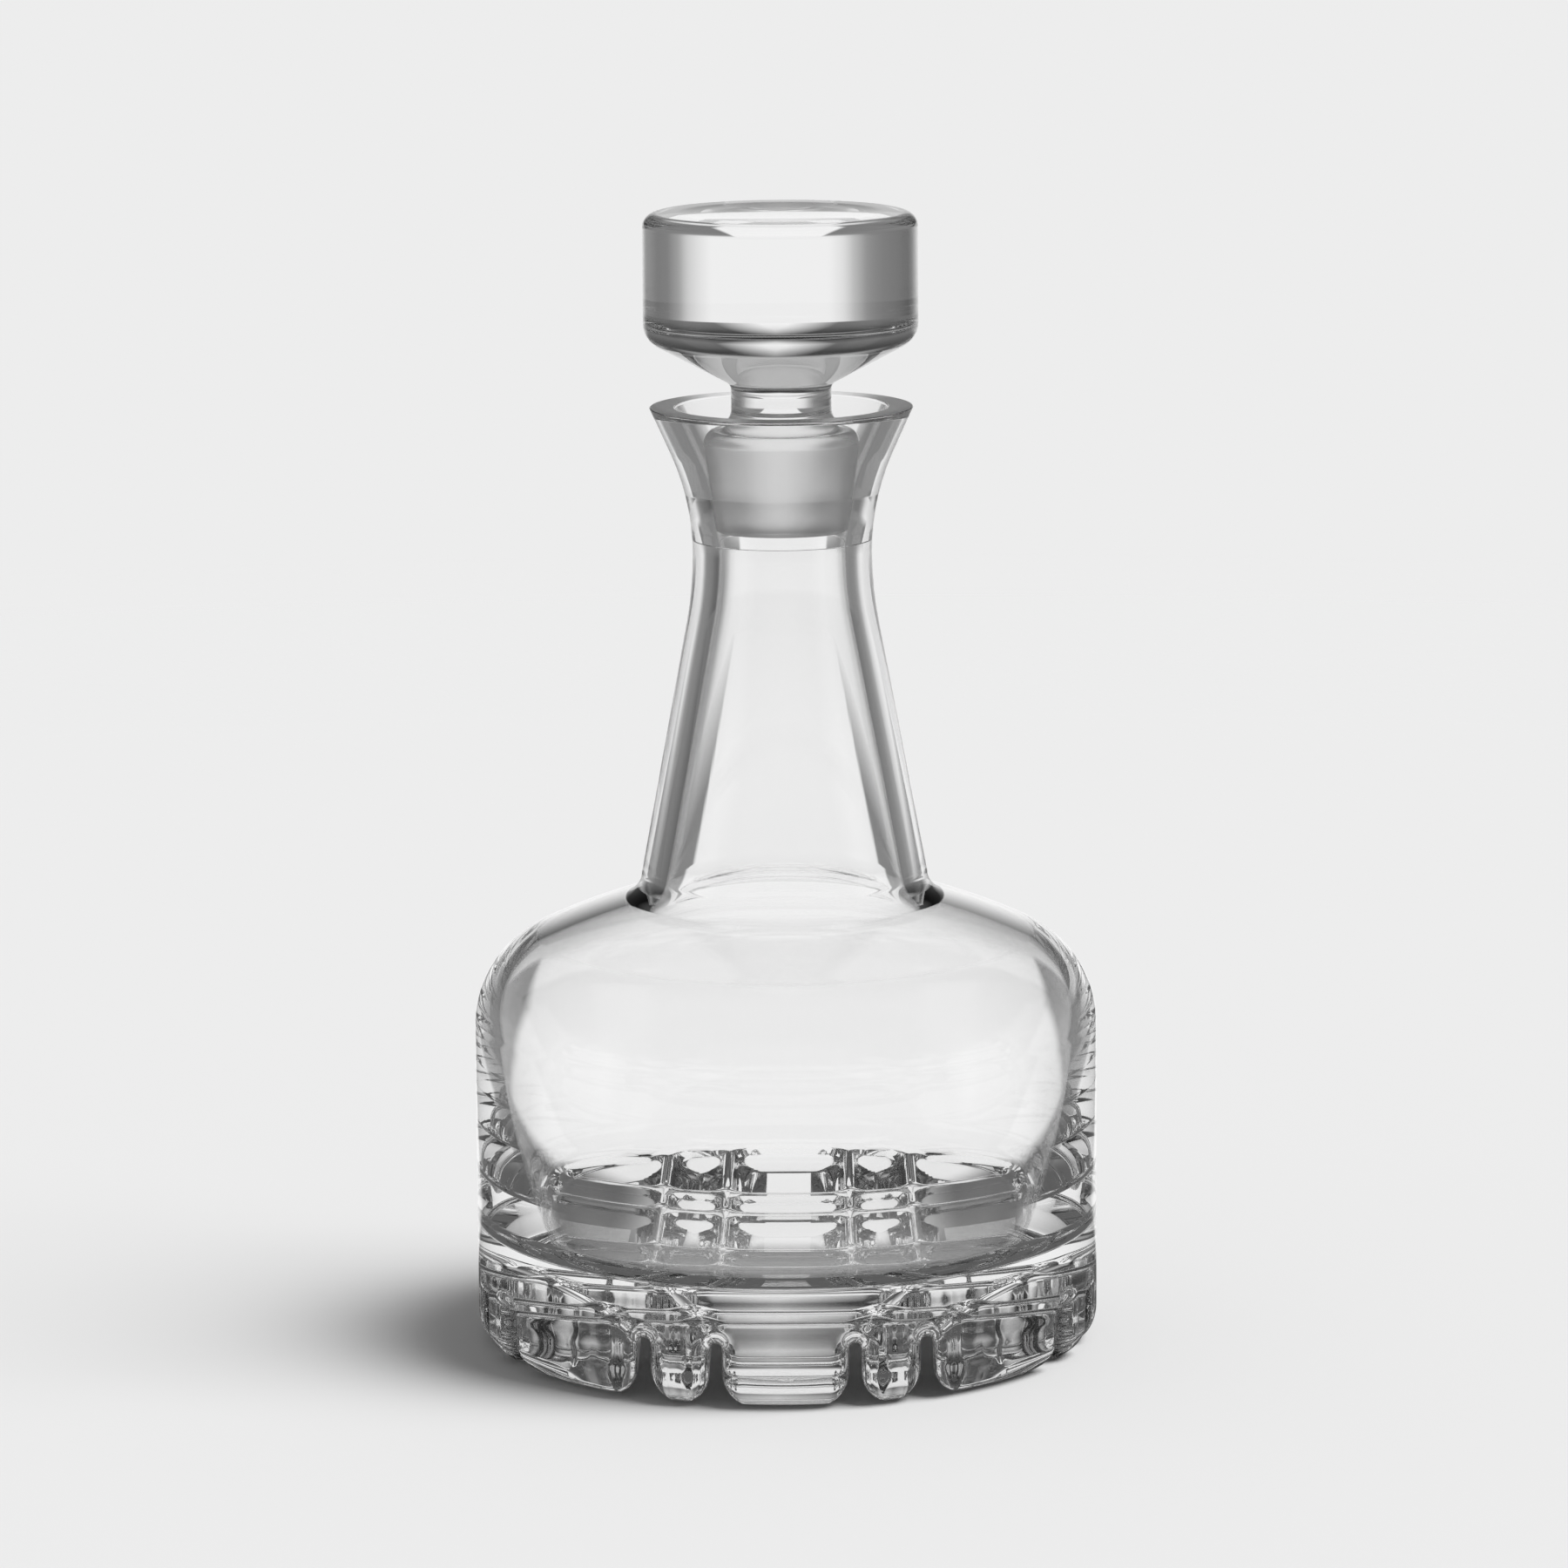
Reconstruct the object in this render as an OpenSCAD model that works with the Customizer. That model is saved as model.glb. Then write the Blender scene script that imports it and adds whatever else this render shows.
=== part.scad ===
// Round decanter in clear glass: a thick foot cut by a grid of grooves, a round-shouldered body,
// a tall neck that narrows to a throat and flares to the lip, and a solid drum-shaped stopper
// whose ground plug sits in a ground seat in the neck.
// Millimetres, +Z up. The origin is in the middle of the footprint, on the plane it stands on.

/* [Body] */
// Radius of the straight side of the body
body_r = 65; // [63:0.5:67]
// Height at which the straight side starts to turn into the shoulder
side_h = 67.8; // [66:0.2:69]
// Radius of the turn from the side into the shoulder
shoulder_r = 21.3; // [20:0.1:23]
// Angle of that turn, in degrees from the side
shoulder_turn = 65; // [63:0.5:67]
// Radius of the long curve that carries the shoulder up to the neck
crown_r = 156; // [130:1:200]
// Radius of the rounded edge under the body
foot_edge_r = 3.6; // [1:0.1:5]

/* [Neck] */
// Radius outside at the throat, the narrowest place
throat_r = 18.6; // [18:0.1:19]
// Height of the throat
throat_h = 166.6; // [165:0.2:168]
// Slope of the neck below the throat, in degrees from upright
neck_slope = 10.65; // [10:0.05:11]
// Radius of the curve from the sloping neck into the throat
throat_blend_r = 78; // [60:1:90]
// Radius of the curve from the throat into the flare
flare_r = 51; // [48:0.5:56]
// Slope of the flare at the lip, in degrees from upright
flare_slope = 24.3; // [22:0.1:26]
// Height of the ground flat lip
lip_h = 197.1; // [195:0.1:200]
// Radius of the hollow curve where the neck grows out of the shoulder
neck_foot_r = 5.6; // [2:0.1:8]

/* [Cavity] */
// Height of the middle of the cavity's floor
floor_h = 17.2; // [16:0.1:19]
// Radius of the floor's bowl
floor_bowl_r = 210; // [180:5:400]
// Radius of the cavity's lower corner
floor_corner_r = 6.5; // [4:0.1:10]
// Radius of the cavity at its widest place
belly_r = 60.2; // [59.6:0.1:60.6]
// Height of that place
belly_h = 70; // [68:0.5:72]
// Radius of the curve of the cavity's wall, seen from the side
wall_curve_r = 190; // [150:5:300]
// Radius of the cavity's upper corner
shoulder_corner_r = 17; // [15:0.1:18]
// Thickness of the glass in the shoulder
shoulder_wall = 3.9; // [3.5:0.1:4.4]
// Thickness of the glass in the neck, measured level
neck_wall = 5.5; // [5.2:0.1:5.8]
// Radius of the curve from the cavity's shoulder into the neck
neck_inlet_r = 9; // [6:0.1:9]

/* [Ground seat] */
// Radius at the lower end of the seat
seat_r = 13.4; // [13.2:0.05:13.6]
// Height of the lower end of the seat
seat_h = 169.2; // [168:0.1:170]
// Length of the seat
seat_len = 10.3; // [9:0.1:11]
// Growth of the seat's radius per millimetre of height
seat_taper = 0.135; // [0.12:0.005:0.15]
// Gap between plug and seat
seat_gap = 0.05; // [0.02:0.01:0.1]

/* [Grid-cut foot] */
// Distance of the inner pair of grooves from the middle
inner_groove = 14.15; // [12:0.05:17]
// Distance of the outer pair of grooves from the middle
outer_groove = 28.8; // [25:0.1:34]
// Width of a groove
groove_w = 2.6; // [2:0.1:4]
// Height of a groove's rounded top
groove_h = 13.2; // [8:0.1:14.5]

/* [Stopper] */
// Height of the plug's flat end
plug_end_h = 171.8; // [171:0.1:174]
// Chamfer round the plug's flat end
plug_chamfer = 0.9; // [0.3:0.1:1.5]
// Height of the widest place of the plug
plug_top_h = 190.7; // [189:0.1:191]
// Radius of the plug's upper edge
plug_edge_r = 2.6; // [1.5:0.1:3]
// Radius of the stopper's waist
waist_r = 10.4; // [9.8:0.1:11]
// Height of the upper end of the waist
waist_h = 200.6; // [199:0.1:202]
// Radius of the drum-shaped head
head_r = 28.4; // [26:0.1:30]
// Slope of the head's underside, in degrees from level
under_slope = 28; // [24:0.5:32]
// Radius of the head's lower edge
under_edge_r = 5; // [2:0.1:6]
// Radius of the head's upper edge
top_edge_r = 3; // [1:0.1:5]
// Height of the top of the head
top_h = 237.3; // [230:0.1:245]
// Radius of the shallow dish in the top
dish_r = 21; // [15:0.5:23]
// Depth of that dish
dish_d = 0.8; // [0.3:0.1:1.5]

/* [Hidden] */
glass = [0.86, 0.90, 0.91, 0.5];
// Steps in each curved stretch of an outline
arc_n = 12;
// How far a cutter runs past the surface it cuts
over = 1;
// Radius of the small curve between the waist and the head's underside
waist_curve_r = 2;

function arc(c, r, a0, a1, n = arc_n) =
    [for (i = [0:n]) let (a = a0 + (a1 - a0) * i / n) c + r * [cos(a), sin(a)]];

// The distance along d from p at which a point is r away from the origin: the first such
// place when side is -1, the last when side is 1
function reach(p, d, r, side) = -(p * d) + side * sqrt(pow(p * d, 2) - p * p + r * r);

// Centre of the shoulder's long curve, shared by the outside and the cavity
shoulder_c = [body_r - shoulder_r, side_h];
crown_c = shoulder_c - (crown_r - shoulder_r) * [cos(shoulder_turn), sin(shoulder_turn)];

// The neck's wall, out by dr from its outside: the curve from the slope into the throat, then
// the curve from the throat into the flare
function neck_lower(dr) =
    arc([throat_r + dr + throat_blend_r, throat_h], throat_blend_r, 180 + neck_slope, 180);
function neck_upper(dr) =
    arc([throat_r + dr + flare_r, throat_h], flare_r, 180, 180 - flare_slope);
function flare_end(dr) =
    let (p = neck_upper(dr)[arc_n]) [p[0] + (lip_h - p[1]) * tan(flare_slope), lip_h];

// Centre of the curve of radius f that joins a crown of radius r to the neck's sloping wall
function neck_foot_c(r, f, dr) =
    let (
        start = neck_lower(dr)[0] + f * [cos(neck_slope), sin(neck_slope)],
        down = [sin(neck_slope), -cos(neck_slope)]
    )
    start + reach(start - crown_c, down, r + f, -1) * down;
// The crown from angle a0, then that joining curve
function crown_and_foot(r, f, dr, a0) =
    let (c = neck_foot_c(r, f, dr), out = c - crown_c, a1 = atan2(out[1], out[0]))
    concat(arc(crown_c, r, a0, a1), arc(c, f, 180 + a1, 180 + neck_slope));

outside = concat(
    [[0, 0]],
    arc([body_r - foot_edge_r, foot_edge_r], foot_edge_r, -90, 0),
    arc(shoulder_c, shoulder_r, 0, shoulder_turn),
    crown_and_foot(crown_r, neck_foot_r, 0, shoulder_turn),
    neck_lower(0),
    neck_upper(0),
    [flare_end(0), [0, lip_h]]
);

// Where two circles meet, on the side away from the axis
function meet(c1, r1, c2, r2) =
    let (v = c2 - c1, d = norm(v), along = (r1 * r1 - r2 * r2 + d * d) / (2 * d),
        off = sqrt(r1 * r1 - along * along), turned = v[1] < 0 ? [-v[1], v[0]] : [v[1], -v[0]])
    c1 + along * v / d + off * turned / d;
function angle_of(v) = atan2(v[1], v[0]);

// The cavity's curved wall, its floor, and the corners between them and the crown
wall_c = [belly_r - wall_curve_r, belly_h];
floor_c = [0, floor_h + floor_bowl_r];
low_c = meet(wall_c, wall_curve_r - floor_corner_r, floor_c, floor_bowl_r - floor_corner_r);
inner_crown_r = crown_r - shoulder_wall;
high_c = meet(wall_c, wall_curve_r - shoulder_corner_r, crown_c, inner_crown_r - shoulder_corner_r);
low_a = angle_of(low_c - floor_c);
wall_low_a = angle_of(low_c - wall_c);
wall_high_a = angle_of(high_c - wall_c);
high_a = angle_of(high_c - crown_c);

cavity = concat(
    arc(floor_c, floor_bowl_r, -90, low_a),
    arc(low_c, floor_corner_r, low_a, wall_low_a),
    arc(wall_c, wall_curve_r, wall_low_a, wall_high_a),
    arc(high_c, shoulder_corner_r, wall_high_a, high_a),
    crown_and_foot(inner_crown_r, neck_inlet_r, -neck_wall, high_a),
    neck_lower(-neck_wall),
    neck_upper(-neck_wall),
    [flare_end(-neck_wall), flare_end(-neck_wall) + [0, over], [0, lip_h + over]]
);

function seat_at(h) = seat_r + seat_taper * (h - seat_h);
seat_top = seat_h + seat_len;

module groove() {
    rotate([90, 0, 0]) linear_extrude(height = 2 * (body_r + over), center = true) {
        translate([-groove_w / 2, -over]) square([groove_w, groove_h - groove_w / 2 + over]);
        translate([0, groove_h - groove_w / 2]) circle(d = groove_w, $fn = 48);
    }
}

module vessel() {
    color(glass) difference() {
        rotate_extrude($fn = 120) polygon(outside);
        rotate_extrude($fn = 120) polygon(cavity);
        rotate_extrude($fn = 120)
            polygon([[0, seat_h], [seat_at(seat_h), seat_h], [seat_at(seat_top), seat_top], [0, seat_top]]);
        for (turn = [0, 90], x = [inner_groove, outer_groove], side = [-1, 1])
            rotate([0, 0, turn]) translate([side * x, 0, 0]) groove();
    }
}

// The stopper's outline, from the plug's flat end up to the dish in the top
function plug_at(h) = seat_at(h) - seat_gap;
plug_edge_c = [plug_at(plug_top_h) - plug_edge_r, plug_top_h];
// The hollow curve from the plug's shoulder into the waist
waist_foot_r = plug_edge_c[0] - waist_r;
waist_foot_c = [plug_edge_c[0], plug_top_h + plug_edge_r + waist_foot_r];
waist_top_c = [waist_r + waist_curve_r, waist_h];
under_start = waist_top_c + waist_curve_r * [-sin(under_slope), cos(under_slope)];
// The head's lower edge touches the underside's slope and the head's side
under_edge_c = let (
        x = head_r - under_edge_r,
        foot = x + under_edge_r * sin(under_slope)
    )
    [x, under_start[1] + (foot - under_start[0]) * tan(under_slope) + under_edge_r * cos(under_slope)];
dish_curve_r = (dish_r * dish_r + dish_d * dish_d) / (2 * dish_d);
dish_a = asin(dish_r / dish_curve_r);

stopper_outline = concat(
    [[0, plug_end_h], [plug_at(plug_end_h) - plug_chamfer, plug_end_h]],
    [[plug_at(plug_end_h + plug_chamfer), plug_end_h + plug_chamfer]],
    arc(plug_edge_c, plug_edge_r, 0, 90),
    arc(waist_foot_c, waist_foot_r, -90, -180),
    arc(waist_top_c, waist_curve_r, 180, 90 + under_slope),
    arc(under_edge_c, under_edge_r, under_slope - 90, 0),
    arc([head_r - top_edge_r, top_h - top_edge_r], top_edge_r, 0, 90),
    arc([0, top_h - dish_d + dish_curve_r], dish_curve_r, dish_a - 90, -90)
);

module stopper() {
    color(glass) rotate_extrude($fn = 120) polygon(stopper_outline);
}

vessel();
stopper();
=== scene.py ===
"""Round decanter in clear cut glass, with a solid stopper ground into its neck.

The walls, the cavity and the stopper are turned from outlines, and the foot's grid of grooves is a
distance field, so that every edge of a pad is melted round as in pressed and polished glass.
"""

import math

import bmesh
import bpy
import numpy as np
from mathutils import Matrix, Vector


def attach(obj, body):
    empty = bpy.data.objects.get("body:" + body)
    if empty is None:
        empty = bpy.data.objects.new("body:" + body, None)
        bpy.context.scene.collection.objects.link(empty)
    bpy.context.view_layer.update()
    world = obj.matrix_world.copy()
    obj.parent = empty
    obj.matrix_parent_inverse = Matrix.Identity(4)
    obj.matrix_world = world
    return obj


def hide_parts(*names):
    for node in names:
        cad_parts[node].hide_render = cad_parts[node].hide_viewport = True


MM = 0.001

# The decanter's sizes in millimetres, as its solid model has them
BODY_R, SIDE_H, SHOULDER_R, SHOULDER_TURN, CROWN_R = 65, 67.8, 21.3, 65, 156
THROAT_R, THROAT_H, NECK_SLOPE, THROAT_BLEND_R = 18.6, 166.6, 10.65, 78
FLARE_R, FLARE_SLOPE, LIP_H, NECK_FOOT_R = 51, 24.3, 197.1, 5.6
FLOOR_H, FLOOR_BOWL_R, FLOOR_CORNER_R = 17.2, 210, 6.5
BELLY_R, BELLY_H, WALL_CURVE_R, SHOULDER_CORNER_R = 60.2, 70, 190, 17
SHOULDER_WALL, NECK_WALL, NECK_INLET_R = 3.9, 5.5, 9
SEAT_R, SEAT_H, SEAT_TAPER, SEAT_GAP = 13.4, 169.2, 0.135, 0.05
INNER_GROOVE, OUTER_GROOVE, GROOVE_W, GROOVE_H = 14.15, 28.8, 2.6, 13.2
PLUG_END_H, PLUG_CHAMFER, PLUG_TOP_H, PLUG_EDGE_R = 171.8, 0.9, 190.7, 2.6
WAIST_R, WAIST_H, WAIST_CURVE_R = 10.4, 200.6, 2
HEAD_R, UNDER_SLOPE, UNDER_EDGE_R, TOP_EDGE_R = 28.4, 28, 5, 3
TOP_H, DISH_R, DISH_D = 237.3, 21, 0.8
# Melted edges of the foot: between the pads, where a groove breaks out at the side, under the pads
PAD_EDGE, RIM_EDGE, SOLE_EDGE = 3.5, 4.0, 7.0
# Where the foot's skin hands over to the turned wall, and the size of its facets
FOOT_TOP, FOOT_STEP = 18.0, 0.9
# Eased corners: of the lip, of the seat, of the plug's flat end, of the dish's rim
LIP_EDGE, SEAT_EDGE, PLUG_EASE, DISH_EASE = 0.5, 0.12, 0.3, 0.8
# The seat's wall lies between these heights and within this radius, and the flat lip above the last
SEAT_LOW, SEAT_TOP, SEAT_OUT, LIP_FLAT = 169.1, 179.4, 15.2, 197.08
# The plug is ground up to here
PLUG_GROUND = 191.0
STEPS_ROUND = 192
# The longest step along a curve, as an angle and in millimetres
ARC_STEP, LONG_STEP = math.radians(4), 4.0


# ---------------------------------------------------------------- trees of nodes
class Val:
    """A node's output socket. Arithmetic on it adds Math or Vector Math nodes."""

    def __init__(self, tree, socket):
        self.tree, self.socket = tree, socket

    def is_vector(self):
        return self.socket.type in ("VECTOR", "RGBA")

    def _do(self, name, *others):
        if self.is_vector():
            return self.tree.make("ShaderNodeVectorMath", {"operation": name}, [self, *others])
        return self.tree.make("ShaderNodeMath", {"operation": name}, [self, *others])

    def _from(self, name, other):
        return self.tree.make("ShaderNodeMath", {"operation": name}, [other, self])

    def __add__(self, o):
        return self._do("ADD", o)

    def __sub__(self, o):
        return self._do("SUBTRACT", o)

    def __mul__(self, o):
        if self.is_vector() and not (isinstance(o, Val) and o.is_vector()):
            return self.tree.make("ShaderNodeVectorMath", {"operation": "SCALE"}, {0: self, "Scale": o})
        return self._do("MULTIPLY", o)

    def __truediv__(self, o):
        return self._do("DIVIDE", o)

    def __radd__(self, o):
        return self._from("ADD", o)

    def __rsub__(self, o):
        return self._from("SUBTRACT", o)

    def __rmul__(self, o):
        return self._from("MULTIPLY", o)

    def __rtruediv__(self, o):
        return self._from("DIVIDE", o)

    def __neg__(self):
        return self * -1.0

    def __abs__(self):
        return self._do("ABSOLUTE")

    def __gt__(self, o):
        return self._do("GREATER_THAN", o)

    def __lt__(self, o):
        return self._do("LESS_THAN", o)

    def low(self, o):
        return self._do("MINIMUM", o)

    def high(self, o):
        return self._do("MAXIMUM", o)

    def root(self):
        return self._do("SQRT")

    def parts(self):
        split = self.tree.node("ShaderNodeSeparateXYZ", {}, [self])
        return [Val(self.tree, s) for s in split.outputs]

    def length(self):
        return self.tree.make("ShaderNodeVectorMath", {"operation": "LENGTH"}, [self], "Value")

    def rising(self, start, end):
        """0 at start, 1 at end, and level beyond them. It falls where end is below start."""
        return ((self - start) / (end - start)).high(0.0).low(1.0)


class Tree:
    """A node tree being built. make() adds one node: its type, its settings, then its sockets."""

    def __init__(self, nodes):
        self.nodes, self.inputs = nodes, {}

    def node(self, kind, settings, sockets):
        new = self.nodes.nodes.new(kind)
        for name, value in settings.items():
            if name == "stops":
                ramp = new.color_ramp
                for place, level in value[1:-1]:
                    ramp.elements.new(place)
                for element, (place, level) in zip(ramp.elements, value):
                    element.position, element.color = place, (level, level, level, 1)
            else:
                setattr(new, name, value)
        pairs = sockets.items() if isinstance(sockets, dict) else enumerate(sockets)
        for key, value in pairs:
            target = new.inputs[key]
            if isinstance(value, Val):
                self.nodes.links.new(value.socket, target)
            elif value is not None:
                target.default_value = value
        return new

    def make(self, kind, settings=None, sockets=(), out=0):
        return Val(self, self.node(kind, settings or {}, sockets).outputs[out])

    def vector(self, x, y, z):
        return self.make("ShaderNodeCombineXYZ", {}, [x, y, z])


def geometry_tree(name, sizes, output="Geometry"):
    """A Geometry Nodes tree with a geometry input, and named float inputs for its sizes."""
    nodes = bpy.data.node_groups.new(name, "GeometryNodeTree")
    tree = Tree(nodes)
    kinds = {"Geometry": "NodeSocketGeometry", "Place": "NodeSocketVector", "Steps": "NodeSocketInt"}
    for size in sizes:
        nodes.interface.new_socket(size, in_out="INPUT", socket_type=kinds.get(size, "NodeSocketFloat"))
    kind = "NodeSocketFloat" if output == "Distance" else "NodeSocketGeometry"
    nodes.interface.new_socket(output, in_out="OUTPUT", socket_type=kind)
    start = nodes.nodes.new("NodeGroupInput")
    tree.inputs = {s: Val(tree, start.outputs[s]) for s in sizes}
    return tree


def evaluated(name, tree, sizes, base=None):
    """The mesh that the tree makes with these sizes, as (places, faces, outward directions)."""
    piece = bpy.data.objects.new(name, base or bpy.data.meshes.new(name))
    bpy.context.scene.collection.objects.link(piece)
    modifier = piece.modifiers.new(name, "NODES")
    modifier.node_group = tree.nodes
    for item in tree.nodes.interface.items_tree:
        if item.in_out == "INPUT" and item.name in sizes:
            modifier[item.identifier] = sizes[item.name]
    depsgraph = bpy.context.evaluated_depsgraph_get()
    mesh = bpy.data.meshes.new_from_object(piece.evaluated_get(depsgraph))
    places = np.empty(len(mesh.vertices) * 3)
    mesh.vertices.foreach_get("co", places)
    facing = np.empty(len(mesh.vertices) * 3)
    mesh.attributes["facing"].data.foreach_get("vector", facing)
    faces = [tuple(p.vertices) for p in mesh.polygons]
    bpy.data.objects.remove(piece)
    bpy.data.meshes.remove(mesh)
    return places.reshape(-1, 3), faces, facing.reshape(-1, 3)


# ---------------------------------------------------------------- outlines
def point(x, y):
    return np.array([x, y], float)


def around(angle):
    """The unit direction at an angle in degrees."""
    return point(math.cos(math.radians(angle)), math.sin(math.radians(angle)))


def arc(centre, radius, start, end):
    """A run of (place, direction of travel) along an arc."""
    turn = math.radians(abs(end - start))
    steps = max(2, math.ceil(max(turn / ARC_STEP, turn * radius / LONG_STEP)))
    way = 90 if end > start else -90
    angles = np.linspace(start, end, steps + 1)
    return [(centre + radius * around(a), around(a + way)) for a in angles]


def line(start, end):
    way = (end - start) / np.linalg.norm(end - start)
    return [(start, way), (end, way)]


def reverse(runs):
    return [[(p, -t) for p, t in reversed(run)] for run in reversed(runs)]


def corner(before, after, ease, steps=3):
    """The run round a corner: a curve that starts and ends at ease from it."""
    (p, t0), (_, t1) = before[-1], after[0]
    p0, p1 = p - ease * t0, p + ease * t1
    run = []
    for s in np.linspace(0, 1, steps + 1):
        place = (1 - s) ** 2 * p0 + 2 * s * (1 - s) * p + s * s * p1
        way = (1 - s) * t0 + s * t1
        run.append((place, way / np.linalg.norm(way)))
    return run


def joined(runs, eases):
    """One outline from runs that follow each other. A corner between two of them is eased."""
    made = [list(runs[0])]
    for run, ease in zip(runs[1:], eases):
        run = list(run)
        if ease:
            bend = corner(made[-1], run, ease)
            made[-1] = made[-1][:-1]
            made += [bend, run[1:]]
        else:
            made.append(run[1:])
    return [p for run in made for p in run]


def reach(p, d, r, side):
    """How far along d from p a point is r away from the origin: the last place, or the first."""
    along = p @ d
    return -along + side * math.sqrt(along * along - p @ p + r * r)


def meet(c1, r1, c2, r2):
    """Where two circles meet, on the side away from the axis."""
    v = c2 - c1
    d = np.linalg.norm(v)
    along = (r1 * r1 - r2 * r2 + d * d) / (2 * d)
    turned = point(-v[1], v[0]) if v[1] < 0 else point(v[1], -v[0])
    return c1 + (along * v + math.sqrt(r1 * r1 - along * along) * turned) / d


def angle_of(v):
    return math.degrees(math.atan2(v[1], v[0]))


SHOULDER_C = point(BODY_R - SHOULDER_R, SIDE_H)
CROWN_C = SHOULDER_C - (CROWN_R - SHOULDER_R) * around(SHOULDER_TURN)


def neck_lower(out):
    return arc(point(THROAT_R + out + THROAT_BLEND_R, THROAT_H), THROAT_BLEND_R, 180 + NECK_SLOPE, 180)


def neck_upper(out):
    return arc(point(THROAT_R + out + FLARE_R, THROAT_H), FLARE_R, 180, 180 - FLARE_SLOPE)


def flare_end(out):
    p = neck_upper(out)[-1][0]
    return point(p[0] + (LIP_H - p[1]) * math.tan(math.radians(FLARE_SLOPE)), LIP_H)


def crown_and_foot(crown, ease, out, start):
    """From the crown at an angle, round the curve at the neck's foot, to the neck's sloping wall."""
    slope = math.radians(NECK_SLOPE)
    down = point(math.sin(slope), -math.cos(slope))
    touch = neck_lower(out)[0][0]
    rise = touch + ease * around(NECK_SLOPE)
    centre = rise + reach(rise - CROWN_C, down, crown + ease, -1) * down
    turn = angle_of(centre - CROWN_C)
    foot = arc(centre, ease, 180 + turn, 180 + NECK_SLOPE)
    return [arc(CROWN_C, crown, start, turn), foot, line(foot[-1][0], touch)]


def seat_at(height):
    return SEAT_R + SEAT_TAPER * (height - SEAT_H)


def vessel_outline():
    """Up the outside from the top of the foot, over the lip, down the cavity to its middle."""
    outer = [
        line(point(BODY_R, FOOT_TOP), point(BODY_R, SIDE_H)),
        arc(SHOULDER_C, SHOULDER_R, 0, SHOULDER_TURN),
        *crown_and_foot(CROWN_R, NECK_FOOT_R, 0, SHOULDER_TURN),
        neck_lower(0),
        neck_upper(0),
        line(neck_upper(0)[-1][0], flare_end(0)),
    ]
    lip = line(flare_end(0), flare_end(-NECK_WALL))

    wall_c = point(BELLY_R - WALL_CURVE_R, BELLY_H)
    floor_c = point(0, FLOOR_H + FLOOR_BOWL_R)
    low_c = meet(wall_c, WALL_CURVE_R - FLOOR_CORNER_R, floor_c, FLOOR_BOWL_R - FLOOR_CORNER_R)
    inner_crown = CROWN_R - SHOULDER_WALL
    high_c = meet(wall_c, WALL_CURVE_R - SHOULDER_CORNER_R, CROWN_C, inner_crown - SHOULDER_CORNER_R)
    low_a, high_a = angle_of(low_c - floor_c), angle_of(high_c - CROWN_C)
    wall_low, wall_high = angle_of(low_c - wall_c), angle_of(high_c - wall_c)
    # The ground seat cuts the flare from its lower end to where the two walls meet again
    flare_c = point(THROAT_R - NECK_WALL + FLARE_R, THROAT_H)
    seat_low, seat_way = point(seat_at(SEAT_H), SEAT_H), point(SEAT_TAPER, 1)
    seat_way = seat_way / np.linalg.norm(seat_way)
    seat_high = seat_low + reach(seat_low - flare_c, seat_way, FLARE_R, 1) * seat_way
    step_a = 180 - math.degrees(math.asin((SEAT_H - THROAT_H) / FLARE_R))
    below = arc(flare_c, FLARE_R, 180, step_a)
    above = arc(flare_c, FLARE_R, angle_of(seat_high - flare_c) % 360, 180 - FLARE_SLOPE)
    cavity = [
        arc(floor_c, FLOOR_BOWL_R, -90, low_a),
        arc(low_c, FLOOR_CORNER_R, low_a, wall_low),
        arc(wall_c, WALL_CURVE_R, wall_low, wall_high),
        arc(high_c, SHOULDER_CORNER_R, wall_high, high_a),
        *crown_and_foot(inner_crown, NECK_INLET_R, -NECK_WALL, high_a),
        neck_lower(-NECK_WALL),
        below,
        line(below[-1][0], seat_low),
        line(seat_low, seat_high),
        above,
        line(above[-1][0], flare_end(-NECK_WALL)),
    ]
    runs = outer + [lip] + reverse(cavity)
    eases = [0] * (len(outer) - 1) + [LIP_EDGE, LIP_EDGE, 0, SEAT_EDGE, SEAT_EDGE, SEAT_EDGE]
    return joined(runs, eases + [0] * (len(runs) - 1 - len(eases)))


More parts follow.
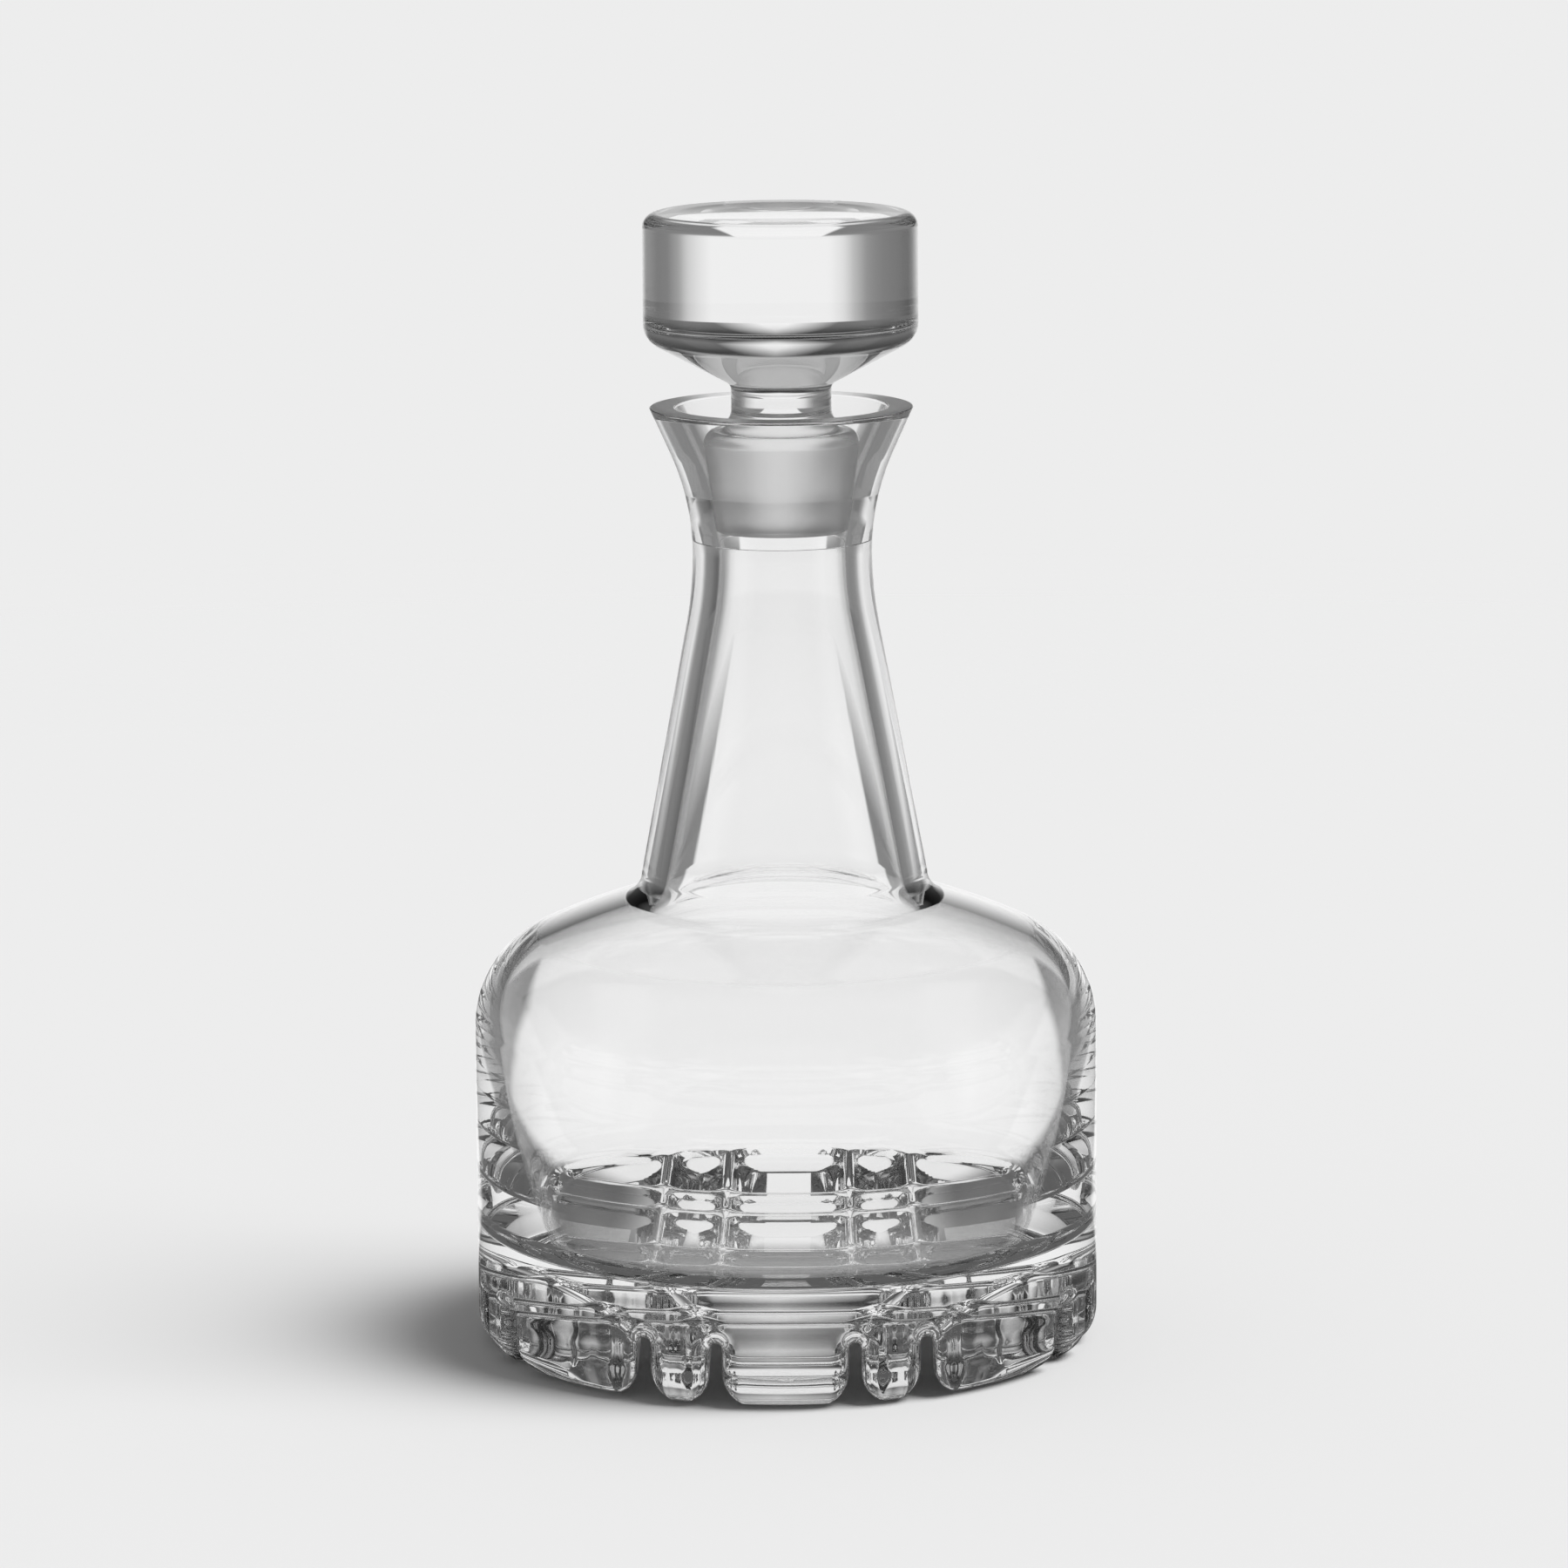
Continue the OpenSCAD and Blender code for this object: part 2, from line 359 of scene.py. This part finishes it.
def stopper_outline():
    """From the middle of the plug's flat end up to the middle of the dish in the top."""
    def plug_at(height):
        return seat_at(height) - SEAT_GAP

    end = point(plug_at(PLUG_END_H) - PLUG_CHAMFER, PLUG_END_H)
    edge_c = point(plug_at(PLUG_TOP_H) - PLUG_EDGE_R, PLUG_TOP_H)
    hollow_r = edge_c[0] - WAIST_R
    hollow_c = point(edge_c[0], PLUG_TOP_H + PLUG_EDGE_R + hollow_r)
    curve_c = point(WAIST_R + WAIST_CURVE_R, WAIST_H)
    slope = math.radians(UNDER_SLOPE)
    under = curve_c + WAIST_CURVE_R * point(-math.sin(slope), math.cos(slope))
    edge_x = HEAD_R - UNDER_EDGE_R
    drop = (edge_x + UNDER_EDGE_R * math.sin(slope) - under[0]) * math.tan(slope)
    under_c = point(edge_x, under[1] + drop + UNDER_EDGE_R * math.cos(slope))
    dish_curve = (DISH_R**2 + DISH_D**2) / (2 * DISH_D)
    dish_a = math.degrees(math.asin(DISH_R / dish_curve))
    runs = [
        line(point(0, PLUG_END_H), end),
        line(end, point(plug_at(PLUG_END_H + PLUG_CHAMFER), PLUG_END_H + PLUG_CHAMFER)),
        arc(edge_c, PLUG_EDGE_R, 0, 90),
        arc(hollow_c, hollow_r, -90, -180),
        arc(curve_c, WAIST_CURVE_R, 180, 90 + UNDER_SLOPE),
        arc(under_c, UNDER_EDGE_R, UNDER_SLOPE - 90, 0),
        arc(point(HEAD_R - TOP_EDGE_R, TOP_H - TOP_EDGE_R), TOP_EDGE_R, 0, 90),
        arc(point(0, TOP_H - DISH_D + dish_curve), dish_curve, dish_a - 90, -90),
    ]
    # Straight stretches fill the gaps between the curves
    full = [runs[0], runs[1]]
    for run in runs[2:]:
        if np.linalg.norm(run[0][0] - full[-1][-1][0]) > 1e-4:
            full.append(line(full[-1][-1][0], run[0][0]))
        full.append(run)
    return joined(full, [PLUG_EASE, PLUG_EASE] + [0] * (len(full) - 4) + [DISH_EASE])


# ---------------------------------------------------------------- turned walls
def turning_tree(material):
    """Turns an outline that stands in the XZ plane once round Z."""
    tree = geometry_tree("turned_wall", ["Geometry", "Steps"])
    outline, steps = tree.inputs["Geometry"], tree.inputs["Steps"]
    count = tree.make("GeometryNodeAttributeDomainSize", {}, [outline])
    grid = tree.make("GeometryNodeMeshGrid", {}, {"Vertices X": steps + 1, "Vertices Y": count})
    index = tree.make("GeometryNodeInputIndex")
    turn = tree.make("ShaderNodeMath", {"operation": "FLOOR"}, [(index + 0.5) / count])
    along = index - turn * count
    angle = turn * (2 * math.pi) / steps

    def swung(value):
        taken = tree.make("GeometryNodeSampleIndex", {"data_type": "FLOAT_VECTOR"},
                          {"Geometry": outline, "Value": value, "Index": along})
        return tree.make("ShaderNodeVectorRotate", {"rotation_type": "Z_AXIS"},
                         {"Vector": taken, "Angle": angle})

    facing = tree.make("GeometryNodeInputNamedAttribute", {"data_type": "FLOAT_VECTOR"}, {"Name": "facing"})
    wall = tree.make("GeometryNodeStoreNamedAttribute", {"data_type": "FLOAT_VECTOR", "domain": "POINT"},
                     {"Geometry": grid, "Name": "facing", "Value": swung(facing)})
    wall = tree.make("GeometryNodeSetPosition", {}, {
        "Geometry": wall, "Position": swung(tree.make("GeometryNodeInputPosition"))})
    wall = tree.make("GeometryNodeMergeByDistance", {}, {"Geometry": wall, "Distance": 1e-6})
    tree.node("NodeGroupOutput", {}, [finished(tree, wall, material)])
    return tree


def finished(tree, geometry, material):
    whole = tree.make("GeometryNodeRealizeInstances", {}, [geometry])
    return tree.make("GeometryNodeSetMaterial", {}, {"Geometry": whole, "Material": material})


def turned(name, outline, material):
    """The outline turned round Z, with the outward direction at each place."""
    base = bpy.data.meshes.new(name)
    places = [(p[0] * MM, 0, p[1] * MM) for p, _ in outline]
    base.from_pydata(places, [(i, i + 1) for i in range(len(places) - 1)], [])
    facing = base.attributes.new("facing", "FLOAT_VECTOR", "POINT")
    for i, (_, way) in enumerate(outline):
        facing.data[i].vector = (way[1], 0, -way[0])
    return evaluated(name, turning_tree(material), {"Steps": STEPS_ROUND}, base)


# ---------------------------------------------------------------- the cut foot
FOOT_SIZES = {
    "Body radius": BODY_R * MM,
    "Inner groove": INNER_GROOVE * MM,
    "Outer groove": OUTER_GROOVE * MM,
    "Groove width": GROOVE_W * MM,
    "Groove height": GROOVE_H * MM,
    "Pad edge": PAD_EDGE * MM,
    "Rim edge": RIM_EDGE * MM,
    "Sole edge": SOLE_EDGE * MM,
}


def foot_distance_tree():
    """How far a place is outside the foot's glass; less than nothing inside it."""
    tree = geometry_tree("foot_distance", ["Place", *FOOT_SIZES], "Distance")
    get = tree.inputs
    x, y, z = get["Place"].parts()
    half = get["Groove width"] / 2
    rise = (z - get["Groove height"] + half).high(0.0)

    def groove(across):
        across = abs(across)
        off = abs(across - get["Inner groove"]).low(abs(across - get["Outer groove"]))
        return (off * off + rise * rise).root() - half

    def melted(a, b, radius):
        """The glass that is in both a and b, with the edge between them rounded."""
        over_a, over_b = (a + radius).high(0.0), (b + radius).high(0.0)
        return a.high(b).low(-radius) + (over_a * over_a + over_b * over_b).root()

    side = (x * x + y * y).root() - get["Body radius"]
    pads = melted(-groove(x), -groove(y), get["Pad edge"])
    body = melted(side, pads, get["Rim edge"])
    tree.node("NodeGroupOutput", {}, [melted(body, -z, get["Sole edge"])])
    return tree


def foot_tree(material):
    """The foot's skin up to where the turned wall starts."""
    tree = geometry_tree("cut_foot", [*FOOT_SIZES, "Top", "Grid step"])
    distance_tree = foot_distance_tree()
    get = tree.inputs
    step, top = get["Grid step"], get["Top"]

    def distance(place):
        sizes = {name: get[name] for name in FOOT_SIZES}
        sizes["Place"] = place
        return tree.make("GeometryNodeGroup", {"node_tree": distance_tree.nodes}, sizes)

    def slope(place, by=2e-5):
        ends = [[distance(place + tuple(s * by if i == axis else 0 for i in range(3))) for s in (1, -1)]
                for axis in range(3)]
        return tree.vector(*[(a - b) / (2 * by) for a, b in ends])

    place = tree.make("GeometryNodeInputPosition")
    reach_out = get["Body radius"] + step * 2
    low = tree.vector(-reach_out, -reach_out, -step * 2)
    high = tree.vector(reach_out, reach_out, top + step * 3)
    across = tree.make("ShaderNodeMath", {"operation": "ROUND"}, [reach_out * 2 / step])
    up = tree.make("ShaderNodeMath", {"operation": "ROUND"}, [(top + step * 5) / step])
    field = tree.make("GeometryNodeVolumeCube", {}, {
        "Density": -distance(place), "Background": -0.01, "Min": low, "Max": high,
        "Resolution X": across, "Resolution Y": across, "Resolution Z": up})
    skin = tree.make("GeometryNodeVolumeToMesh", {}, {"Volume": field, "Threshold": 0.0})
    height = place.parts()[2]
    skin = tree.make("GeometryNodeDeleteGeometry", {}, {
        "Geometry": skin, "Selection": height > top + step * 0.5})
    # The top row is brought level, then every place is drawn onto the true surface
    x, y, z = place.parts()
    row = z > top - step * 0.5
    skin = tree.make("GeometryNodeSetPosition", {}, {
        "Geometry": skin, "Selection": row, "Position": tree.vector(x, y, top)})
    for _ in range(3):
        way = slope(place)
        pull = way * (-distance(place) / (way.length() * way.length()))
        skin = tree.make("GeometryNodeSetPosition", {}, {"Geometry": skin, "Offset": pull})
    way = tree.make("ShaderNodeVectorMath", {"operation": "NORMALIZE"}, [slope(place)])
    skin = tree.make("GeometryNodeStoreNamedAttribute", {"data_type": "FLOAT_VECTOR", "domain": "POINT"},
                     {"Geometry": skin, "Name": "facing", "Value": way})
    tree.node("NodeGroupOutput", {}, [finished(tree, skin, material)])
    return tree


def ring(places, faces, height):
    """The open edge at a height, in order of its angle."""
    edges = {}
    for face in faces:
        for a, b in zip(face, face[1:] + face[:1]):
            key = (a, b) if a < b else (b, a)
            edges[key] = edges.get(key, 0) + 1
    found = {i for key, n in edges.items() if n == 1 for i in key if abs(places[i][2] - height) < 1e-5}
    return sorted(found, key=lambda i: math.atan2(places[i][1], places[i][0]))


def laced(places, lower, upper):
    """Triangles between two rings that lie one above the other."""
    def angle(loop, i):
        """The angle of the loop's place i, which goes on growing past the loop's end."""
        x, y, _ = places[loop[i % len(loop)]]
        return math.atan2(y, x) + 2 * math.pi * (i // len(loop))

    made, i, j = [], 0, 0
    while i < len(lower) or j < len(upper):
        a, b = lower[i % len(lower)], upper[j % len(upper)]
        if j >= len(upper) or (i < len(lower) and angle(lower, i + 1) <= angle(upper, j + 1)):
            made.append((a, lower[(i + 1) % len(lower)], b))
            i += 1
        else:
            made.append((a, upper[(j + 1) % len(upper)], b))
            j += 1
    return made


def vessel_mesh(material):
    """The cut foot and the turned wall as one closed skin: its places, faces and directions."""
    wall, wall_faces, wall_facing = turned("wall", vessel_outline(), material)
    sizes = {**FOOT_SIZES, "Top": FOOT_TOP * MM, "Grid step": FOOT_STEP * MM}
    foot, foot_faces, foot_facing = evaluated("foot", foot_tree(material), sizes)
    places = np.vstack([foot, wall])
    faces = foot_faces + [tuple(i + len(foot) for i in face) for face in wall_faces]
    lower = ring(foot, foot_faces, FOOT_TOP * MM)
    upper = [i + len(foot) for i in ring(wall, wall_faces, FOOT_TOP * MM)]
    return places, faces + laced(places, lower, upper), np.vstack([foot_facing, wall_facing])


def glass_piece(name, skin, material, node):
    """A closed piece of glass that stands for the node of the body of the same name."""
    places, faces, facing = skin
    mesh = bpy.data.meshes.new(name)
    mesh.from_pydata(places.tolist(), [], faces)
    shell = bmesh.new()
    shell.from_mesh(mesh)
    bmesh.ops.recalc_face_normals(shell, faces=shell.faces)
    shell.to_mesh(mesh)
    shell.free()
    mesh.polygons.foreach_set("use_smooth", [True] * len(mesh.polygons))
    mesh.normals_split_custom_set_from_vertices(facing.tolist())
    mesh.materials.append(material)
    piece = bpy.data.objects.new(name, mesh)
    bpy.context.scene.collection.objects.link(piece)
    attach(piece, node)
    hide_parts(node)


# ---------------------------------------------------------------- finishes
REFRACTION = 1.53
# Roughness of a ground face, how much its grain varies it, and how many grains to a metre
SATIN, SATIN_GRAIN, GRAINS = 0.36, 0.12, 900.0
# The seat's share of that roughness: it shows nearly clear in front of the ground plug
SEAT_SATIN = 0.1
# Above these heights the glass lets light through to its shadow, up to this share
SHADOW_START, SHADOW_CLEAR, CLEAR_SHARE = 0.018, 0.048, 0.95


def glass(name, ground):
    """Clear glass, with satin roughness where ground(radius, height) is 1."""
    material = bpy.data.materials.new(name)
    material.use_nodes = True
    nodes = material.node_tree
    nodes.nodes.clear()
    tree = Tree(nodes)
    place = tree.make("ShaderNodeTexCoord", {}, (), "Object")
    x, y, z = place.parts()
    radius = (x * x + y * y).root()
    grain = tree.make("ShaderNodeTexNoise", {}, {"Vector": place, "Scale": GRAINS, "Detail": 3.0})
    rough = ground(radius, z) * (SATIN + SATIN_GRAIN * grain)
    shell = tree.make("ShaderNodeBsdfPrincipled", {}, {
        "Base Color": (1, 1, 1, 1), "Roughness": rough, "IOR": REFRACTION, "Transmission Weight": 1.0})
    path = tree.node("ShaderNodeLightPath", {}, ())
    clear = tree.make("ShaderNodeBsdfTransparent", {}, {"Color": (0.95, 0.95, 0.95, 1)})
    clearing = z.rising(SHADOW_START, SHADOW_CLEAR) * CLEAR_SHARE
    shadow = Val(tree, path.outputs["Is Shadow Ray"]) * clearing
    surface = tree.make("ShaderNodeMixShader", {}, [shadow, shell, clear])
    tree.node("ShaderNodeOutputMaterial", {}, {"Surface": surface})
    return material


def vessel_ground(radius, z):
    seat = (z > SEAT_LOW * MM) * (z < SEAT_TOP * MM) * (radius < SEAT_OUT * MM)
    return (seat * SEAT_SATIN).high(z > LIP_FLAT * MM)


def stopper_ground(radius, z):
    return z < PLUG_GROUND * MM


# ---------------------------------------------------------------- the stage
# The open background, the even light that falls on the floor, and the floor's own tone
BRIGHT, AMBIENT, PALE = 0.847, 0.27, 0.8
# The way to the key light, and its spread in degrees
KEY_WAY, KEY_SPREAD = Vector((1.0, -0.22, 1.35)).normalized(), 38
FLOOR_R, FLOOR_FADE = 1.2, (0.8, 1.15)
# What the glass sees of the floor, which glows for it with painted light: a strip of painted light, by its
# half width near the foot, how that grows, how soft its long edges are, and where it starts, then its
# brightness
STRIP_HALF, STRIP_GROWS, STRIP_GAIN, STRIP_SPREAD = 0.032, 0.03, 0.085, 0.15
STRIP_FAR, STRIP_SOFT, STRIP_START, STRIP_PAINTED_LIGHT = 0.3, 0.011, (-0.009, 0.005), 0.96
# The painted shade on the rest of the floor near the foot and further off, the painted light from the side
# boards, and the dim painted light in front
NEAR_PAINTED_SHADE, FAR_GAIN, FAR = 0.10, 0.12, (0.1, 0.2)
SIDE_TURN, SIDE_WIDTH, SIDE_AWAY, SIDE_PAINTED_LIGHT = 101, (26, 12), (0.12, 0.20), 0.6
FRONT_TURN, FRONT_AWAY, FRONT_PAINTED_LIGHT = (118, 128), (0.07, 0.15), 0.22
# What the glass sees round it, by angle from straight behind, + to the right: a bright wall
# behind, dark cards beside it, a light board at each side, and a dim room in front
BOARDS = [
    (-180, 0.45), (-122, 0.45), (-108, 0.75), (-94, 0.75), (-84, 0.35), (-76, 0.18), (-61, 0.10),
    (-50, 0.15), (-40, 0.18), (-33, 0.20), (-29, 0.26), (-24, 0.48), (-20, 0.75), (-15, 0.90),
    (21, 0.90), (26, 0.76), (31, 0.60), (36, 0.34), (44, 0.20), (54, 0.18), (65, 0.24), (75, 0.28),
    (84, 0.35), (94, 0.75), (108, 0.75), (122, 0.45), (180, 0.45)]
# The boards and the cards above the horizon
UPPER_BOARDS = [
    (-180, 0.05), (-122, 0.05), (-108, 0.60), (-94, 0.60), (-82, 0.30), (-65, 0.18), (-30, 0.18),
    (30, 0.18), (65, 0.18), (82, 0.30), (94, 0.60), (108, 0.60), (122, 0.05), (180, 0.05)]

# How bright the wall is, from the horizon at 0.5 to straight up at 1
UPWARDS = [
    (0.5, 0.95), (0.533, 0.85), (0.567, 0.68), (0.62, 0.50), (0.67, 0.44), (0.75, 0.40), (0.84, 0.28),
    (0.90, 0.10), (1.0, 0.08)]
# The wall's half width in degrees, what it loses upwards, its soft edge, and the board over it
WALL_HALF, WALL_NARROWS, WALL_SOFT = 12, 24, 7.5
OVERHEAD_Z, OVERHEAD_TURN = (0.4, 0.525), (50, 25)
# How fast the boards and the cards darken upwards, and how far
UPPER_FADES, UPPER_LEAST = 1.5, 0.3


def turned_from_back(tree, x, y):
    """The angle in degrees from straight behind."""
    return tree.make("ShaderNodeMath", {"operation": "ARCTAN2"}, [x, y]) * (180 / math.pi)


def boards(tree, turn, levels):
    """The brightness of the boards and cards at an angle."""
    stops = [(0.5 + a / 360, v) for a, v in levels]
    return tree.make("ShaderNodeValToRGB", {"stops": stops}, [turn / 360 + 0.5])


def mixed(tree, share, first, second):
    """The first colour where share is 0, the second where it is 1."""
    return tree.make("ShaderNodeMix", {"data_type": "RGBA"}, {"Factor": share, "A": first, "B": second}, 2)


def floor_stage():
    """A plain pale floor. The glass sees it glow instead, with a painted strip of light and painted shade
    round the foot.
    """
    mesh = bpy.data.meshes.new("floor")
    shell = bmesh.new()
    bmesh.ops.create_circle(shell, cap_ends=True, radius=FLOOR_R, segments=96)
    shell.to_mesh(mesh)
    shell.free()
    floor = bpy.data.objects.new("floor", mesh)
    bpy.context.scene.collection.objects.link(floor)
    material = bpy.data.materials.new("pale_floor")
    material.use_nodes = True
    nodes = material.node_tree
    nodes.nodes.clear()
    tree = Tree(nodes)
    x, y, z = tree.make("ShaderNodeTexCoord", {}, (), "Object").parts()
    away = (x * x + y * y).root()
    half = (y - STRIP_GROWS).high(0.0).low(STRIP_GAIN) + (y - STRIP_FAR).high(0.0) * STRIP_SPREAD + STRIP_HALF
    strip = (abs(x) - half).rising(STRIP_SOFT, -STRIP_SOFT) * y.rising(*STRIP_START)
    # Painted shade near the foot, a little lighter further off
    painted_shade = away.rising(*FAR) * FAR_GAIN + NEAR_PAINTED_SHADE
    # Painted light: a bright strip behind the foot, on top of the painted shade
    painted_light = strip * strip * (3 - strip * 2) * (STRIP_PAINTED_LIGHT - painted_shade) + painted_shade
    turn = turned_from_back(tree, x, y)
    sides = abs(abs(turn) - SIDE_TURN).rising(*SIDE_WIDTH) * away.rising(*SIDE_AWAY) * SIDE_PAINTED_LIGHT
    front = abs(turn).rising(*FRONT_TURN) * away.rising(*FRONT_AWAY) * FRONT_PAINTED_LIGHT
    painted_light = painted_light.high(sides).high(front)
    path = tree.node("ShaderNodeLightPath", {}, ())
    lit = tree.make("ShaderNodeBsdfDiffuse", {}, {"Color": (PALE, PALE, PALE, 1)})
    # For all but camera rays the floor glows with this painted light and shade instead of being lit
    seen = tree.make("ShaderNodeEmission", {}, {"Color": (1, 1, 1, 1), "Strength": painted_light})
    top = tree.make("ShaderNodeMixShader", {}, [Val(tree, path.outputs["Is Camera Ray"]), seen, lit])
    clear = tree.make("ShaderNodeBsdfTransparent")
    surface = tree.make("ShaderNodeMixShader", {}, [away.rising(*FLOOR_FADE), top, clear])
    tree.node("ShaderNodeOutputMaterial", {}, {"Surface": surface})
    mesh.materials.append(material)


def world_light():
    """A plain pale background and even light. The glass sees boards and cards instead."""
    world = bpy.data.worlds.new("studio")
    bpy.context.scene.world = world
    world.use_nodes = True
    nodes = world.node_tree
    nodes.nodes.clear()
    tree = Tree(nodes)
    x, y, z = tree.make("ShaderNodeTexCoord", {}, (), "Generated").parts()
    turn = turned_from_back(tree, x, y)
    rise = tree.make("ShaderNodeMath", {"operation": "ARCSINE"}, [z]) / math.pi + 0.5
    up = tree.make("ShaderNodeValToRGB", {"stops": UPWARDS}, [rise])
    # The lit part of the wall narrows upwards, and a board hangs over its top
    overhead = z.rising(*OVERHEAD_Z).low(abs(turn).rising(*OVERHEAD_TURN))
    lit = (abs(turn - 1) + z * WALL_NARROWS - WALL_HALF).rising(WALL_SOFT, -WALL_SOFT).high(overhead)
    upper = boards(tree, turn, UPPER_BOARDS) * (1 - z * UPPER_FADES).high(UPPER_LEAST)
    upper = mixed(tree, lit, upper, (1, 1, 1, 1)) * up
    room = mixed(tree, z > 0.0, boards(tree, turn, BOARDS), upper)
    path = tree.node("ShaderNodeLightPath", {}, ())
    # The floor is lit evenly, and the open background is plain
    room = mixed(tree, Val(tree, path.outputs["Is Diffuse Ray"]), room, (AMBIENT, AMBIENT, AMBIENT, 1))
    room = mixed(tree, Val(tree, path.outputs["Is Camera Ray"]), room, (BRIGHT, BRIGHT, BRIGHT, 1))
    sky = tree.make("ShaderNodeBackground", {}, {"Color": room, "Strength": 1.0})
    tree.node("ShaderNodeOutputWorld", {}, {"Surface": sky})


def key_light():
    data = bpy.data.lights.new("key", "SUN")
    data.angle = math.radians(KEY_SPREAD)
    # With the even light, it brings the pale floor to the background's level
    data.energy = (BRIGHT / PALE - AMBIENT) * math.pi / KEY_WAY.z
    light = bpy.data.objects.new("key", data)
    light.visible_glossy = light.visible_transmission = False
    bpy.context.scene.collection.objects.link(light)
    light.rotation_euler = (-KEY_WAY).to_track_quat("-Z", "Y").to_euler()


CAMERA_AWAY, CAMERA_H, LENS = 1.560, 0.3921, 174.6
CAMERA_PITCH, CAMERA_ROLL, CAMERA_SWING = 9.97, -0.42, 0.53


def camera():
    data = bpy.data.cameras.new("camera")
    data.lens, data.sensor_width = LENS, 36
    data.clip_start, data.clip_end = 0.05, 50
    seen = bpy.data.objects.new("camera", data)
    bpy.context.scene.collection.objects.link(seen)
    seen.matrix_world = (
        Matrix.Rotation(math.radians(CAMERA_SWING), 4, "Z")
        @ Matrix.Translation((0, -CAMERA_AWAY, CAMERA_H))
        @ Matrix.Rotation(math.radians(90 - CAMERA_PITCH), 4, "X")
        @ Matrix.Rotation(math.radians(CAMERA_ROLL), 4, "Z"))
    bpy.context.scene.camera = seen


# ---------------------------------------------------------------- the whole
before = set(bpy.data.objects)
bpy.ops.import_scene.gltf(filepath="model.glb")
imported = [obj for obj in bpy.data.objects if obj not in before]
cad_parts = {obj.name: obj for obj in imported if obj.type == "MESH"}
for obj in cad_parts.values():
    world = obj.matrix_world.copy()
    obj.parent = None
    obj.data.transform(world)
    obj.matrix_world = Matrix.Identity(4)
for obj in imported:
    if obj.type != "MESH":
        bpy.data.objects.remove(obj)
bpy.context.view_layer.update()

vessel_glass = glass("clear_glass", vessel_ground)
glass_piece("vessel_cut_glass", vessel_mesh(vessel_glass), vessel_glass, "vessel")
stopper_glass = glass("stopper_glass", stopper_ground)
stopper_skin = turned("stopper", stopper_outline(), stopper_glass)
glass_piece("stopper_cut_glass", stopper_skin, stopper_glass, "stopper")

floor_stage()
world_light()
key_light()
camera()
scene = bpy.context.scene
scene.view_settings.view_transform = "Standard"
scene.cycles.max_bounces = 24
scene.cycles.transmission_bounces = 24
scene.cycles.glossy_bounces = 16
scene.cycles.transparent_max_bounces = 24
